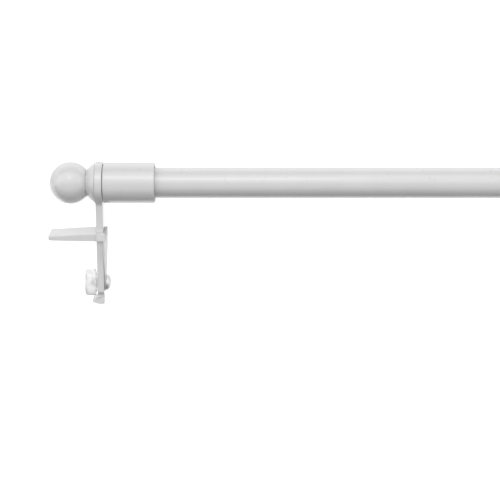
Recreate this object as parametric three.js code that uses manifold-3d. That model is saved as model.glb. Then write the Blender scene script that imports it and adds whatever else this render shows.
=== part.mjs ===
// Clamp-on curtain rod: a telescopic tube between two clamp brackets, with a ball finial
// on each end. Millimetres, +Z up, the rod along X.
//
// The origin is the corner of the left hook: X = 0 on the outer face of the left strip,
// Y = 0 on its middle plane and Z = 0 on top of its hook. Both ends are built once, in an
// end frame whose X axis is the rod's axis, pointing outwards, with X = 0 in the middle of
// the bracket's eye. The right end stands in the model as built and the left end is
// turned half a turn about Z, because one bracket serves both ends of the real rod.

import * as THREE from 'three';
import { mergeVertices } from 'three/addons/utils/BufferGeometryUtils.js';
import Module from 'manifold-3d';

const wasm = await Module();
wasm.setup();

// ---- Driving dimensions -------------------------------------------------------------

// Clearances between pieces
const SEAT_GAP = 0.1;            // between faces that are screwed or pushed together
const FIT_GAP = 0.05;            // radial, a plug or liner pushed into a tube
const SLIDE_GAP = 0.15;          // radial or per side, pieces that slide or turn

// Tubes
const OUTER_TUBE_LENGTH = 385;
const OUTER_TUBE_DIAMETER = 16;
const TUBE_WALL = 0.9;
const TUBE_PLAY = 0.6;           // radial room between the outer tube and the inner one
const CLOSED_BARE_LENGTH = 8;    // inner tube left bare when the rod is pushed shut
const CLOSED_END_ROOM = 19;      // between the left plug and the slide bush when shut

// Sleeve, the cap on the end of the tube
const SLEEVE_LENGTH = 26.7;
const SLEEVE_WALL = 2.6;
const SLEEVE_EDGE = 0.3;
const SLEEVE_NECK_INSET = 0.7;
const SLEEVE_NECK_LENGTH = 0.3;
const SLEEVE_END_WALL = 3.2;
const SLEEVE_MOUTH_DEPTH = 3.5;
const SLEEVE_LIP_WALL = 0.9;

// End plug, its nut and the slide bush
const PLUG_FLANGE = 1.2;
const PLUG_LENGTH = 13.2;
const NUT_ACROSS_FLATS = 8;
const NUT_HEIGHT = 4;
const NUT_POCKET_DEPTH = 5;
const BUSH_HEAD_LENGTH = 4;
const BUSH_SHANK_LENGTH = 10;
const BUSH_BORE_DIAMETER = 7;
const RING_FLANGE = 1.2;
const RING_LINER_LENGTH = 10;

// Finial and its stud
const BALL_DIAMETER = 22;
const BALL_SEAT_DIAMETER = 14.4;  // flat on the ball, where it meets the collar
const BALL_BORE_DEPTH = 8.6;
const COLLAR_LENGTH = 4.7;
const COLLAR_INSET = 0.65;        // radial, from the bracket's eye
const COLLAR_LAND = 0.3;          // straight length beside the bracket's eye
const COLLAR_SEAT_LAND = 0.4;     // straight length beside the ball
const COLLAR_BULGE = 0.35;        // how far the flare stands out from a straight cone
const STUD_DIAMETER = 5;
const STUD_ENGAGEMENT = 8;        // length of stud inside the ball
const STUD_TIP = 0.6;             // length of stud past the nut
const STUD_CHAMFER = 0.5;
const WASHER_DIAMETER = 11.6;
const WASHER_THICKNESS = 0.9;

// Bracket strip
const STRIP_THICKNESS = 3.8;
const STRIP_TAPER = 0.4;          // taken off the inner face from the eye to the foot
const STRIP_WIDTH = 12;
const EYE_LIP = 0.6;              // radial, how far the eye stands proud of the sleeve
const EYE_EDGE = 0.8;
const NECK_WIDTH = 7;
const NECK_LENGTH = 1.6;          // from the strip's rounded end to the hook
const HOOK_DROP = 61.4;           // rod axis down to the top of the hook
const HOOK_HEIGHT = 3.4;
const HOOK_WIDTH = 10;
const HOOK_REACH = 3;
const HOOK_TIP_HEIGHT = 0.7;
const HOOK_TIP_SHARE = 0.45;      // how far up the hook's height its tip stands

// Jaw, the plastic arm that slides on the strip
const JAW_TRAVEL = 10;
const JAW_TOP_DROP = 25.5;
const JAW_HEIGHT = 4.2;
const JAW_WALL = 1.6;             // of the collar, at the strip's edges
const ARM_REACH = 25.1;           // from the strip's outer face to the arm's tip
const ARM_TIP_HEIGHT = 2.3;
const ARM_TIP_TOP_FALL = 1.4;
const ARM_CORNER_RADIUS = 1;
const TONGUE_THICKNESS = 1.1;      // at the jaw's top
const TONGUE_END_THICKNESS = 0.5;  // at the clamp screw
const TONGUE_OVERHANG = 0.45;     // how far the tongue stands out past the collar's sides
const TONGUE_SHOULDER = 10.5;     // jaw's top down to where the tongue starts to narrow
const TONGUE_END_DIAMETER = 9;

// Clamp screw and buffer pad
const PAD_HOOK_GAP = 0.35;        // between the pad's rim and the top of the hook
const SCREW_DIAMETER = 4;
const SCREW_HEAD_DIAMETER = 8.6;
const SCREW_HEAD_HEIGHT = 2.3;
const SCREW_HEAD_DOME = [[0, 0.5], [0.25, 0.78], [0.6, 0.96]];  // shares of height, radius
const SCREW_RECESS_SPAN = 4.6;
const SCREW_RECESS_WIDTH = 0.9;
const SCREW_RECESS_DEPTH = 1.2;
const SCREW_REACH = 4;            // past the strip's outer face, into the pad
const SCREW_TIP_CHAMFER = 0.4;
const PAD_DIAMETER = 13.7;
const PAD_THICKNESS = 5.6;
const PAD_EDGE = 0.8;
const PAD_BOSS_DIAMETER = 9;
const PAD_BOSS_LENGTH = 1;
const PAD_SOCKET_MARGIN = 0.5;    // bore left free beyond the screw's end

// How far a cutting body runs past the face it cuts
const CUT_PAST = 1;

// Facets round a full turn, the same on every coaxial piece so that fits stay even
const TURN_FACETS = 32;
const BALL_FACETS = 12;          // from the ball's seat to its pole
const ARC_FACETS = 4;
const EDGE_FACETS = 2;

// ---- Places worked out from the sizes above -----------------------------------------

const eyeFace = STRIP_THICKNESS / 2;
const outerTubeRadius = OUTER_TUBE_DIAMETER / 2;
const outerTubeBore = outerTubeRadius - TUBE_WALL;
const innerTubeRadius = outerTubeBore - TUBE_PLAY;
const innerTubeBore = innerTubeRadius - TUBE_WALL;
const studRadius = STUD_DIAMETER / 2;
const studHoleRadius = studRadius + SLIDE_GAP;
const sleeveBore = outerTubeRadius + FIT_GAP;
const sleeveRadius = sleeveBore + SLEEVE_WALL;
const eyeRadius = sleeveRadius + EYE_LIP;

// Along the rod's axis in the end frame, from the eye inwards
const sleeveOuterEnd = -eyeFace - SEAT_GAP;
const sleeveShoulder = sleeveOuterEnd - SLEEVE_NECK_LENGTH;
const sleeveInnerEnd = sleeveShoulder - SLEEVE_LENGTH;
const sleeveFloor = sleeveShoulder - SLEEVE_END_WALL;
const sleeveMouthStep = sleeveInnerEnd + SLEEVE_MOUTH_DEPTH;
const plugOuterEnd = sleeveFloor - SEAT_GAP;
const tubeEnd = plugOuterEnd - PLUG_FLANGE - SEAT_GAP;
const plugInnerEnd = plugOuterEnd - PLUG_FLANGE - PLUG_LENGTH;
const nutOuterFace = plugInnerEnd + NUT_POCKET_DEPTH - SEAT_GAP;
const studInnerEnd = nutOuterFace - NUT_HEIGHT - STUD_TIP;
const collarInnerFace = eyeFace + SEAT_GAP;
const collarOuterFace = collarInnerFace + COLLAR_LENGTH;
const ballSeat = collarOuterFace + SEAT_GAP;
const ballRadius = BALL_DIAMETER / 2;
const ballCentre = ballSeat + Math.sqrt(ballRadius ** 2 - (BALL_SEAT_DIAMETER / 2) ** 2);

// Down the strip in the end frame
const stripEndDrop = HOOK_DROP - NECK_LENGTH;
const stripEndRadius = (STRIP_WIDTH - NECK_WIDTH) / 2;
const hookBottom = -(HOOK_DROP + HOOK_HEIGHT);
const clampDrop = HOOK_DROP - PAD_HOOK_GAP - PAD_DIAMETER / 2;
const jawTop = -JAW_TOP_DROP;
const jawBottom = jawTop - JAW_HEIGHT;
const jawWidth = STRIP_WIDTH + 2 * (SLIDE_GAP + JAW_WALL);
const slotHalfWidth = SCREW_DIAMETER / 2 + SLIDE_GAP;
const stripInnerFace = (z) => -eyeFace + STRIP_TAPER * Math.min(1, -z / stripEndDrop);
const tongueOuterFace = (z) => stripInnerFace(z) - SLIDE_GAP - THREE.MathUtils.mapLinear(
  z, jawTop, -clampDrop, TONGUE_THICKNESS, TONGUE_END_THICKNESS,
);
const screwSeat = tongueOuterFace(-clampDrop + SCREW_HEAD_DIAMETER / 2) - SEAT_GAP;

// The whole rod in the model frame
const rodHeight = HOOK_DROP;
const leftEye = eyeFace;
const outerTubeStart = leftEye - tubeEnd;
const outerTubeStop = outerTubeStart + OUTER_TUBE_LENGTH;
const ringStop = outerTubeStop + SEAT_GAP + RING_FLANGE;
const rightEye = ringStop + CLOSED_BARE_LENGTH - sleeveInnerEnd;
const innerTubeStop = rightEye + tubeEnd;
const bushStart = leftEye - plugInnerEnd + CLOSED_END_ROOM;
const innerTubeStart = bushStart + BUSH_HEAD_LENGTH + SEAT_GAP;

// ---- Solids: building, cutting and joining ------------------------------------------

const weld = (geometry) => {
  const bare = geometry.clone();
  bare.deleteAttribute('normal');
  bare.deleteAttribute('uv');
  return mergeVertices(bare);
};

const solidOf = (geometry) => {
  const welded = weld(geometry);
  const corners = welded.index.array;
  const kept = [];
  for (let i = 0; i < corners.length; i += 3) {
    const [a, b, c] = corners.slice(i, i + 3);
    if (a !== b && b !== c && c !== a) kept.push(a, b, c);
  }
  return new wasm.Manifold(new wasm.Mesh({
    numProp: 3,
    vertProperties: Float32Array.from(welded.attributes.position.array),
    triVerts: Uint32Array.from(kept),
  }));
};

const geometryOf = (solid) => {
  const mesh = solid.getMesh();
  const geometry = new THREE.BufferGeometry();
  geometry.setAttribute('position', new THREE.BufferAttribute(mesh.vertProperties, 3));
  geometry.setIndex(new THREE.BufferAttribute(mesh.triVerts, 1));
  geometry.computeVertexNormals();
  return geometry;
};

// A body turned about the X axis, from [x, radius] points in order of rising X on the
// outside, closed by falling X on the inside
const turned = (profile) => {
  const points = profile.map(([x, radius]) => new THREE.Vector2(radius, x));
  const onAxis = profile[0][1] === 0 && profile.at(-1)[1] === 0;
  if (!onAxis) points.push(points[0].clone());
  return new THREE.LatheGeometry(points, TURN_FACETS).rotateZ(-Math.PI / 2);
};

// Points of an arc in a turned profile, from one angle to the other, in degrees
const arc = (centreX, centreRadius, radius, fromDegrees, toDegrees, steps = EDGE_FACETS) => {
  const points = [];
  for (let i = 0; i <= steps; i += 1) {
    const angle = THREE.MathUtils.degToRad(fromDegrees + (toDegrees - fromDegrees) * i / steps);
    points.push([centreX + radius * Math.cos(angle), centreRadius + radius * Math.sin(angle)]);
  }
  return points;
};

const ring = (fromX, toX, innerRadius, outerRadius) => turned([
  [fromX, innerRadius], [fromX, outerRadius], [toX, outerRadius], [toX, innerRadius],
]);

const rod = (fromX, toX, radius) => turned([[fromX, 0], [fromX, radius], [toX, radius], [toX, 0]]);

const outline = (points) => new THREE.Shape(points.map(([a, b]) => new THREE.Vector2(a, b)));

// A side view in X and Z, made into a bar that lies evenly on both sides of Y = 0
const barFromSide = (shape, width) => new THREE.ExtrudeGeometry(shape, {
  depth: width, bevelEnabled: false, curveSegments: ARC_FACETS,
}).rotateX(Math.PI / 2).translate(0, width / 2, 0);

// A front view in Y and Z, made into a plate between two X values
const plateFromFront = (shape, fromX, toX) => new THREE.ExtrudeGeometry(shape, {
  depth: toX - fromX, bevelEnabled: false, curveSegments: ARC_FACETS,
}).rotateX(Math.PI / 2).rotateZ(Math.PI / 2).translate(fromX, 0, 0);

// A plan view in X and Y, made into a block between two Z values
const blockFromPlan = (shape, fromZ, toZ) => new THREE.ExtrudeGeometry(shape, {
  depth: toZ - fromZ, bevelEnabled: false, curveSegments: ARC_FACETS,
}).translate(0, 0, fromZ);

const box = (fromX, toX, halfWidth, fromZ, toZ) => new THREE.BoxGeometry(
  toX - fromX, 2 * halfWidth, toZ - fromZ,
).translate((fromX + toX) / 2, 0, (fromZ + toZ) / 2);

// ---- Pieces of the tube -------------------------------------------------------------

const tube = (fromX, toX, radius) => ring(fromX, toX, radius - TUBE_WALL, radius);

const mouthRing = () => turned([
  [outerTubeStop - RING_LINER_LENGTH, innerTubeRadius + SLIDE_GAP],
  [outerTubeStop - RING_LINER_LENGTH, outerTubeBore - FIT_GAP],
  [outerTubeStop + SEAT_GAP, outerTubeBore - FIT_GAP],
  [outerTubeStop + SEAT_GAP, outerTubeRadius],
  [ringStop, outerTubeRadius],
  [ringStop, innerTubeRadius + SLIDE_GAP],
]);

const slideBush = () => turned([
  [bushStart, BUSH_BORE_DIAMETER / 2],
  [bushStart, outerTubeBore - SLIDE_GAP],
  [bushStart + BUSH_HEAD_LENGTH, outerTubeBore - SLIDE_GAP],
  [bushStart + BUSH_HEAD_LENGTH, innerTubeBore - FIT_GAP],
  [bushStart + BUSH_HEAD_LENGTH + BUSH_SHANK_LENGTH, innerTubeBore - FIT_GAP],
  [bushStart + BUSH_HEAD_LENGTH + BUSH_SHANK_LENGTH, BUSH_BORE_DIAMETER / 2],
]);

// Fills the sleeve round the thinner tube, so that one sleeve fits both ends
const reducerBush = () => ring(
  sleeveMouthStep + SEAT_GAP, tubeEnd, innerTubeRadius + FIT_GAP, outerTubeRadius,
);

// ---- Pieces of one end, in the end frame --------------------------------------------

const sleeve = () => {
  const neckRadius = sleeveRadius - SLEEVE_NECK_INSET;
  return turned([
    [sleeveInnerEnd, sleeveRadius - SLEEVE_LIP_WALL],
    [sleeveInnerEnd, sleeveRadius - SLEEVE_EDGE],
    [sleeveInnerEnd + SLEEVE_EDGE, sleeveRadius],
    [sleeveShoulder - SLEEVE_EDGE, sleeveRadius],
    [sleeveShoulder, sleeveRadius - SLEEVE_EDGE],
    [sleeveShoulder, neckRadius],
    [sleeveOuterEnd, neckRadius],
    [sleeveOuterEnd, studHoleRadius],
    [sleeveFloor, studHoleRadius],
    [sleeveFloor, sleeveBore],
    [sleeveMouthStep, sleeveBore],
    [sleeveMouthStep, sleeveRadius - SLEEVE_LIP_WALL],
  ]);
};

const hexagon = (acrossFlats) => {
  const corner = acrossFlats / Math.sqrt(3);
  const points = [];
  for (let i = 0; i < 6; i += 1) {
    points.push([corner * Math.cos(i * Math.PI / 3), corner * Math.sin(i * Math.PI / 3)]);
  }
  return outline(points);
};

const endPlug = (tubeBore) => {
  const body = turned([
    [plugInnerEnd, studHoleRadius],
    [plugInnerEnd, tubeBore - FIT_GAP],
    [plugOuterEnd - PLUG_FLANGE, tubeBore - FIT_GAP],
    [plugOuterEnd - PLUG_FLANGE, outerTubeRadius],
    [plugOuterEnd, outerTubeRadius],
    [plugOuterEnd, studHoleRadius],
  ]);
  const pocket = plateFromFront(
    hexagon(NUT_ACROSS_FLATS + 2 * SEAT_GAP), plugInnerEnd - CUT_PAST,
    plugInnerEnd + NUT_POCKET_DEPTH,
  );
  return geometryOf(solidOf(body).subtract(solidOf(pocket)));
};

const plugNut = () => {
  const blank = plateFromFront(hexagon(NUT_ACROSS_FLATS), nutOuterFace - NUT_HEIGHT, nutOuterFace);
  const bore = rod(
    nutOuterFace - NUT_HEIGHT - CUT_PAST, nutOuterFace + CUT_PAST, studHoleRadius,
  );
  return geometryOf(solidOf(blank).subtract(solidOf(bore)));
};

const finialStud = () => {
  const ballEnd = ballSeat + STUD_ENGAGEMENT;
  return turned([
    [studInnerEnd, 0],
    [studInnerEnd, studRadius - STUD_CHAMFER],
    [studInnerEnd + STUD_CHAMFER, studRadius],
    [ballEnd - STUD_CHAMFER, studRadius],
    [ballEnd, studRadius - STUD_CHAMFER],
    [ballEnd, 0],
  ]);
};

const finialBall = () => {
  const seatAngle = 180 - THREE.MathUtils.radToDeg(Math.asin(BALL_SEAT_DIAMETER / BALL_DIAMETER));
  const boreEnd = ballSeat + BALL_BORE_DEPTH;
  return turned([
    [boreEnd, 0],
    [boreEnd, studHoleRadius],
    [ballSeat, studHoleRadius],
    ...arc(ballCentre, 0, ballRadius, seatAngle, 0, BALL_FACETS).slice(0, -1),
    [ballCentre + ballRadius, 0],
  ]);
};

const finialCollar = () => {
  const radius = eyeRadius - COLLAR_INSET;
  const flareLength = COLLAR_LENGTH - COLLAR_LAND - COLLAR_SEAT_LAND;
  const seatRadius = BALL_SEAT_DIAMETER / 2;
  const flareRise = radius - seatRadius;
  const flare = [];
  for (let i = 0; i <= ARC_FACETS; i += 1) {
    const along = i / ARC_FACETS;
    const bulge = COLLAR_BULGE * Math.sin(Math.PI * along);
    flare.push([
      collarInnerFace + COLLAR_LAND + flareLength * along,
      radius - flareRise * along + bulge,
    ]);
  }
  const recessRadius = WASHER_DIAMETER / 2 + SLIDE_GAP;
  const recessFloor = collarInnerFace + WASHER_THICKNESS + SEAT_GAP;
  return turned([
    [collarInnerFace, recessRadius],
    [collarInnerFace, radius],
    ...flare,
    [collarOuterFace, seatRadius],
    [collarOuterFace, studHoleRadius],
    [recessFloor, studHoleRadius],
    [recessFloor, recessRadius],
  ]);
};

const lockWasher = () => ring(
  collarInnerFace, collarInnerFace + WASHER_THICKNESS, studHoleRadius, WASHER_DIAMETER / 2,
);

// The strip seen from the front: a bar with a rounded end, a neck and the hook's foot
const stripFront = () => {
  const half = STRIP_WIDTH / 2;
  const neck = NECK_WIDTH / 2;
  const foot = HOOK_WIDTH / 2;
  const cornerTop = -stripEndDrop + stripEndRadius;
  const shape = new THREE.Shape();
  shape.moveTo(half, 0);
  shape.lineTo(-half, 0);
  shape.lineTo(-half, cornerTop);
  shape.absarc(-neck, cornerTop, stripEndRadius, Math.PI, 1.5 * Math.PI);
  shape.lineTo(-neck, -HOOK_DROP);
  shape.lineTo(-foot, -HOOK_DROP);
  shape.lineTo(-foot, hookBottom);
  shape.lineTo(foot, hookBottom);
  shape.lineTo(foot, -HOOK_DROP);
  shape.lineTo(neck, -HOOK_DROP);
  shape.lineTo(neck, -stripEndDrop);
  shape.absarc(neck, cornerTop, stripEndRadius, 1.5 * Math.PI, 2 * Math.PI);
  return shape;
};

// The strip seen from the side: it thins towards the foot, where the hook points outwards
const stripSide = () => {
  const tipMiddle = -HOOK_DROP - HOOK_HEIGHT * (1 - HOOK_TIP_SHARE);
  return outline([
    [-eyeFace, 0],
    [stripInnerFace(-stripEndDrop), -stripEndDrop],
    [stripInnerFace(-stripEndDrop), hookBottom],
    [eyeFace, hookBottom],
    [eyeFace + HOOK_REACH, tipMiddle - HOOK_TIP_HEIGHT / 2],
    [eyeFace + HOOK_REACH, tipMiddle + HOOK_TIP_HEIGHT / 2],
    [eyeFace, -HOOK_DROP],
    [eyeFace, 0],
  ]);
};

// The slot that the clamp screw slides in
const stripSlot = () => {
  const lower = -clampDrop;
  const upper = lower + JAW_TRAVEL;
  const shape = new THREE.Shape();
  shape.absarc(0, upper, slotHalfWidth, 0, Math.PI);
  shape.absarc(0, lower, slotHalfWidth, Math.PI, 2 * Math.PI);
  return plateFromFront(shape, -STRIP_THICKNESS, STRIP_THICKNESS);
};

const bracketStrip = () => {
  const eye = turned([
    [-eyeFace, 0],
    ...arc(-eyeFace + EYE_EDGE, eyeRadius - EYE_EDGE, EYE_EDGE, 180, 90),
    ...arc(eyeFace - EYE_EDGE, eyeRadius - EYE_EDGE, EYE_EDGE, 90, 0),
    [eyeFace, 0],
  ]);
  const side = barFromSide(stripSide(), STRIP_WIDTH + 2 * CUT_PAST);
  const front = plateFromFront(stripFront(), -STRIP_THICKNESS, STRIP_THICKNESS + HOOK_REACH);
  const hole = rod(-STRIP_THICKNESS, STRIP_THICKNESS, studHoleRadius);
  return geometryOf(
    solidOf(side).intersect(solidOf(front)).add(solidOf(eye))
      .subtract(solidOf(hole)).subtract(solidOf(stripSlot())),
  );
};

// The arm and the collar round the strip, seen from the side
const armSide = () => {
  const back = tongueOuterFace(jawTop);
  const tip = eyeFace + ARM_REACH;
  const tipTop = jawTop - ARM_TIP_TOP_FALL;
  const tipRound = ARM_TIP_HEIGHT / 2;
  const shape = new THREE.Shape();
  shape.moveTo(back, jawTop);
  shape.lineTo(back, jawBottom);
  shape.lineTo(eyeFace, jawBottom);
  shape.lineTo(tip - tipRound, tipTop - ARM_TIP_HEIGHT);
  shape.absarc(tip - tipRound, tipTop - tipRound, tipRound, -Math.PI / 2, Math.PI / 2);
  shape.lineTo(eyeFace, jawTop);
  return shape;
};

const armPlan = () => {
  const half = jawWidth / 2;
  const tip = eyeFace + ARM_REACH;
  const shape = new THREE.Shape();
  shape.moveTo(-2 * STRIP_THICKNESS, -half);
  shape.lineTo(tip - ARM_CORNER_RADIUS, -half);
  shape.absarc(tip - ARM_CORNER_RADIUS, -half + ARM_CORNER_RADIUS,
    ARM_CORNER_RADIUS, -Math.PI / 2, 0);
  shape.absarc(tip - ARM_CORNER_RADIUS, half - ARM_CORNER_RADIUS,
    ARM_CORNER_RADIUS, 0, Math.PI / 2);
  shape.lineTo(-2 * STRIP_THICKNESS, half);
  return shape;
};

// The tongue lies along the strip's inner face, down to the clamp screw
const tongueSide = () => {
  const bottom = -clampDrop - TONGUE_END_DIAMETER;
  return outline([
    [stripInnerFace(jawTop) - SLIDE_GAP, jawTop],
    [tongueOuterFace(jawTop), jawTop],
    [tongueOuterFace(bottom), bottom],
    [stripInnerFace(bottom) - SLIDE_GAP, bottom],
  ]);
};

const tongueFront = () => {
  const half = jawWidth / 2 + TONGUE_OVERHANG;
  const end = TONGUE_END_DIAMETER / 2;
  const shape = new THREE.Shape();
  shape.moveTo(half, jawTop);
  shape.lineTo(-half, jawTop);
  shape.lineTo(-half, jawTop - TONGUE_SHOULDER);
  shape.lineTo(-end, -clampDrop + end);
  shape.absarc(0, -clampDrop, end, Math.PI, 2 * Math.PI);
  shape.lineTo(end, -clampDrop + end);
  shape.lineTo(half, jawTop - TONGUE_SHOULDER);
  return shape;
};

const jaw = () => {
  const arm = solidOf(barFromSide(armSide(), jawWidth + 2 * CUT_PAST))
    .intersect(solidOf(blockFromPlan(armPlan(), jawBottom - CUT_PAST, jawTop + CUT_PAST)));
  const passage = box(
    stripInnerFace(jawTop) - SLIDE_GAP, eyeFace + SLIDE_GAP,
    STRIP_WIDTH / 2 + SLIDE_GAP, jawBottom - CUT_PAST, jawTop + CUT_PAST,
  );
  const tongue = solidOf(barFromSide(tongueSide(), jawWidth + 2 * (TONGUE_OVERHANG + CUT_PAST)))
    .intersect(solidOf(plateFromFront(tongueFront(), -2 * STRIP_THICKNESS, 0)));
  const hole = rod(-2 * STRIP_THICKNESS, 0, slotHalfWidth).translate(0, 0, -clampDrop);
  return geometryOf(arm.subtract(solidOf(passage)).add(tongue).subtract(solidOf(hole)));
};

const clampScrew = () => {
  const radius = SCREW_DIAMETER / 2;
  const crown = screwSeat - SCREW_HEAD_HEIGHT;
  const headRadius = SCREW_HEAD_DIAMETER / 2;
  const dome = SCREW_HEAD_DOME.map(([height, width]) => (
    [crown + height * SCREW_HEAD_HEIGHT, width * headRadius]
  ));
  const body = turned([
    [crown, 0],
    ...dome,
    [screwSeat, headRadius],
    [screwSeat, radius],
    [eyeFace + SCREW_REACH - SCREW_TIP_CHAMFER, radius],
    [eyeFace + SCREW_REACH, radius - SCREW_TIP_CHAMFER],
    [eyeFace + SCREW_REACH, 0],
  ]);
  const span = SCREW_RECESS_SPAN / 2;
  const width = SCREW_RECESS_WIDTH / 2;
  const floor = crown + SCREW_RECESS_DEPTH;
  const acrossY = box(crown - CUT_PAST, floor, span, -width, width);
  const acrossZ = box(crown - CUT_PAST, floor, width, -span, span);
  return geometryOf(
    solidOf(body).subtract(solidOf(acrossY)).subtract(solidOf(acrossZ)),
  ).translate(0, 0, -clampDrop);
};

const bufferPad = () => {
  const radius = PAD_DIAMETER / 2;
  const bossFace = eyeFace + SLIDE_GAP;
  const discFace = bossFace + PAD_BOSS_LENGTH;
  const outerFace = discFace + PAD_THICKNESS;
  const socketRadius = SCREW_DIAMETER / 2 + SLIDE_GAP;
  const socketFloor = eyeFace + SCREW_REACH + PAD_SOCKET_MARGIN;
  return turned([
    [socketFloor, 0],
    [socketFloor, socketRadius],
    [bossFace, socketRadius],
    [bossFace, PAD_BOSS_DIAMETER / 2],
    [discFace, PAD_BOSS_DIAMETER / 2],
    ...arc(discFace + PAD_EDGE, radius - PAD_EDGE, PAD_EDGE, 180, 90),
    ...arc(outerFace - PAD_EDGE, radius - PAD_EDGE, PAD_EDGE, 90, 0),
    [outerFace, 0],
  ]).translate(0, 0, -clampDrop);
};

// ---- Finishes -----------------------------------------------------------------------

const paint = new THREE.MeshStandardMaterial({ color: 0xd9d9d9, roughness: 0.4, metalness: 0 });
const nylon = new THREE.MeshStandardMaterial({ color: 0xececec, roughness: 0.5, metalness: 0 });
const insert = new THREE.MeshStandardMaterial({ color: 0xc4c4c2, roughness: 0.6, metalness: 0 });
const zinc = new THREE.MeshStandardMaterial({ color: 0xcfd0d2, roughness: 0.3, metalness: 1 });
const silicone = new THREE.MeshStandardMaterial({
  color: 0xf4f5f5, roughness: 0.35, metalness: 0, transparent: true, opacity: 0.6,
});

// ---- The rod put together -----------------------------------------------------------

const piece = (name, geometry, material) => {
  const mesh = new THREE.Mesh(geometry, material);
  mesh.name = name;
  return mesh;
};

const end = (side, tubeBore) => {
  const group = new THREE.Group();
  group.add(
    piece(`${side}_finial_ball`, finialBall(), paint),
    piece(`${side}_finial_collar`, finialCollar(), paint),
    piece(`${side}_finial_stud`, finialStud(), zinc),
    piece(`${side}_lock_washer`, lockWasher(), zinc),
    piece(`${side}_bracket_strip`, bracketStrip(), paint),
    piece(`${side}_sleeve`, sleeve(), paint),
    piece(`${side}_end_plug`, endPlug(tubeBore), insert),
    piece(`${side}_plug_nut`, plugNut(), zinc),
    piece(`${side}_jaw`, jaw(), nylon),
    piece(`${side}_clamp_screw`, clampScrew(), zinc),
    piece(`${side}_buffer_pad`, bufferPad(), silicone),
  );
  return group;
};

const leftEnd = end('left', outerTubeBore);
leftEnd.rotation.z = Math.PI;
leftEnd.position.set(leftEye, 0, rodHeight);

const rightEnd = end('right', innerTubeBore);
rightEnd.position.set(rightEye, 0, rodHeight);
rightEnd.add(piece('reducer_bush', reducerBush(), insert));

const telescope = new THREE.Group();
telescope.position.set(0, 0, rodHeight);
telescope.add(
  piece('outer_tube', tube(outerTubeStart, outerTubeStop, outerTubeRadius), paint),
  piece('mouth_ring', mouthRing(), insert),
  piece('inner_tube', tube(innerTubeStart, innerTubeStop, innerTubeRadius), paint),
  piece('slide_bush', slideBush(), insert),
);

const curtainRod = new THREE.Group();
curtainRod.add(leftEnd, telescope, rightEnd);

export default curtainRod;
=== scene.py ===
"""A telescopic curtain rod that clamps on to a window sash, dressed round its CAD frame.

Everything is in metres. The sections follow the rod as it is put together: the tubes, the
sleeves and plugs on their ends, the clamp brackets, and last the finials that hold it tight.
"""

import math

import bmesh
import bpy
from mathutils import Matrix, Vector


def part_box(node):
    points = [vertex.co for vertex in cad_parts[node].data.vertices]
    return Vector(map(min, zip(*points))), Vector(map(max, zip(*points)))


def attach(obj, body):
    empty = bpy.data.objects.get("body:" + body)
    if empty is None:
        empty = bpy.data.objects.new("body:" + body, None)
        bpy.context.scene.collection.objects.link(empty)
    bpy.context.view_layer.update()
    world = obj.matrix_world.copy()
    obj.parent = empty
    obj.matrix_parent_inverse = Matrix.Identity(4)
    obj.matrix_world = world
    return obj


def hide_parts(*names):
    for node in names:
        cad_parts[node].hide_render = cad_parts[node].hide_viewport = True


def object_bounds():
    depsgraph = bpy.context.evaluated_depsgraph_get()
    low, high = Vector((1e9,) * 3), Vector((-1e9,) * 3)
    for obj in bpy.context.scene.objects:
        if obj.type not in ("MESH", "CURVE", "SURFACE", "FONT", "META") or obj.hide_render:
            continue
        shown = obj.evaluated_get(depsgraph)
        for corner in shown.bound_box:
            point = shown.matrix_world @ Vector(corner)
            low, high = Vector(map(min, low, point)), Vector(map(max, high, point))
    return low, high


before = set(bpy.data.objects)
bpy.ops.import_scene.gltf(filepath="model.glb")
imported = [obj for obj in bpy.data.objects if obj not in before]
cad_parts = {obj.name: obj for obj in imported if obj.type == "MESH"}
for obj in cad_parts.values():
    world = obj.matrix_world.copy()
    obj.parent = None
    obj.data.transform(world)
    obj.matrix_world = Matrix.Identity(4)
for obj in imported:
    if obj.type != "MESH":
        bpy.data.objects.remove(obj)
cad_low, cad_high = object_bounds()

# ---- Outer tube ----------------------------------------------------------------------
# Thin steel strip rolled into a 16 mm tube and welded along its back, then cut to length,
# deburred and powder coated white. The left sleeve is pushed over its closed end.

mm = 0.001
TURN_STEPS = 112
EDGE_SEGMENTS = 4
MERGE_DISTANCE = 0.001 * mm
TOLERANCE = 0.01 * mm
SHARP_ANGLE = math.radians(40)
WELD_DEPTH = 0.12 * mm
WELD_HALF_WIDTH = 0.1 * mm
TUBE_WALL = 0.9 * mm
CUT_EDGE = 0.15 * mm
FINE_EDGE = 0.1 * mm
SMALL_EDGE = 0.2 * mm
NOISE_LOW, NOISE_HIGH = 0.3, 0.7
PAINT_TONE = 0.66
PAINT_TONE_SPREAD = 0.012

tube_low, tube_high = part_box("outer_tube")
rod_height = (tube_low.z + tube_high.z) / 2
outer_radius = (tube_high.z - tube_low.z) / 2


def turned(outline, steps=TURN_STEPS):
    """Spins an outline of (x, radius, corner rounding) about the X axis into a closed body."""
    mesh = bmesh.new()
    corners = [mesh.verts.new((x, 0, radius)) for x, radius, _ in outline]
    for start, end in zip(corners, corners[1:]):
        mesh.edges.new((start, end))
    if outline[0][1] > 0:
        mesh.edges.new((corners[-1], corners[0]))
    for size in sorted({rounding for _, _, rounding in outline if rounding}):
        rounded = [corner for corner, point in zip(corners, outline) if point[2] == size]
        bmesh.ops.bevel(mesh, geom=rounded, offset=size, affect="VERTICES",
                        segments=EDGE_SEGMENTS, profile=0.5, material=-1)
    bmesh.ops.spin(mesh, geom=mesh.verts[:] + mesh.edges[:], cent=(0, 0, 0), axis=(1, 0, 0),
                   dvec=(0, 0, 0), angle=math.tau, steps=steps, use_merge=True)
    bmesh.ops.remove_doubles(mesh, verts=mesh.verts, dist=MERGE_DISTANCE)
    bmesh.ops.recalc_face_normals(mesh, faces=mesh.faces)
    return mesh


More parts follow.
